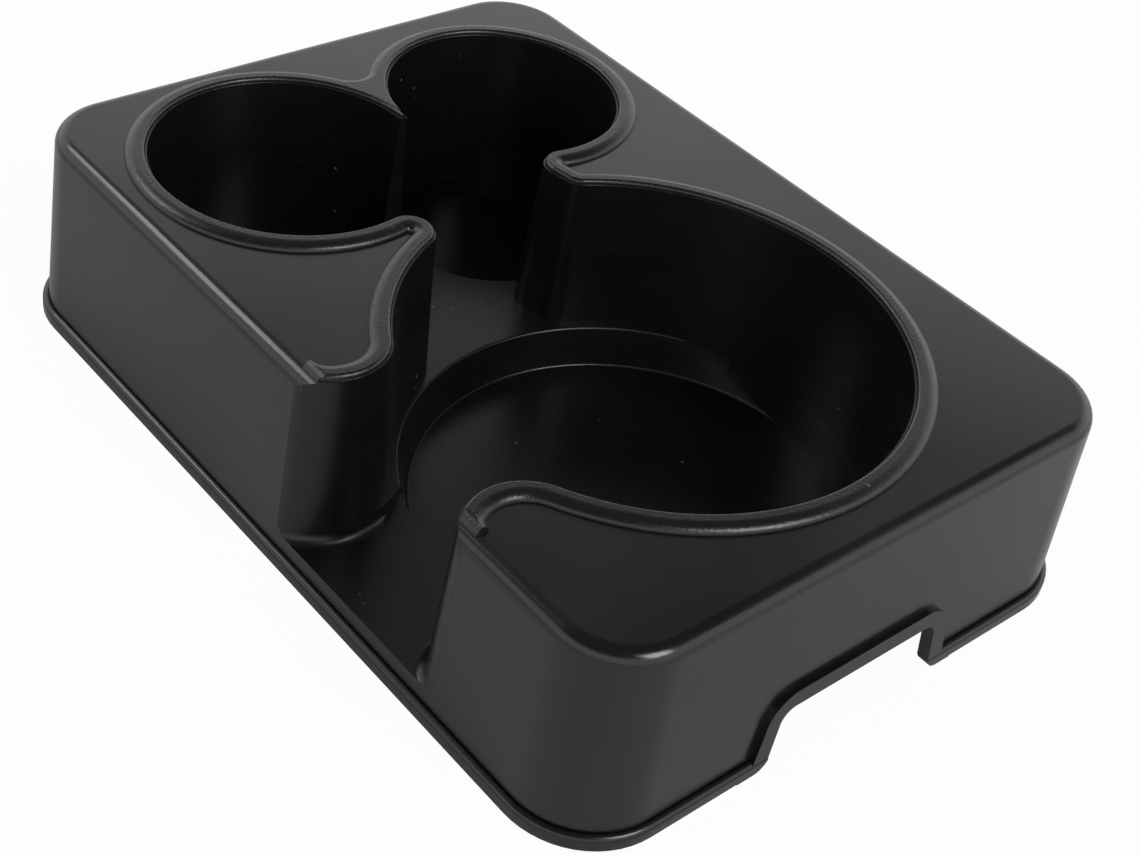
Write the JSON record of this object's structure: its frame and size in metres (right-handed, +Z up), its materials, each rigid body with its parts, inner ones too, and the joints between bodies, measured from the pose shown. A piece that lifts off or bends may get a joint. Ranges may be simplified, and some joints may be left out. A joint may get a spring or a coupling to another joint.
{
  "type": "cup holder organizer",
  "caption": "Low moulded car console insert with round cup wells joined by a passage, an open side gap, a raised lip round the wells, a foot rim and a foot notch.",
  "frame": {"origin": "middle of the footprint, on the plane the part rests on", "axes": "+X along the length toward the end with the notch in its foot, +Y away from the side with the open gap, +Z up"},
  "size_m": [0.253, 0.183, 0.0605],
  "materials": {
    "shell": "satin black moulded plastic with a finely grained raised lip"
  },
  "bodies": {
    "root": {"organizer": "shell"}
  },
  "joints": []
}
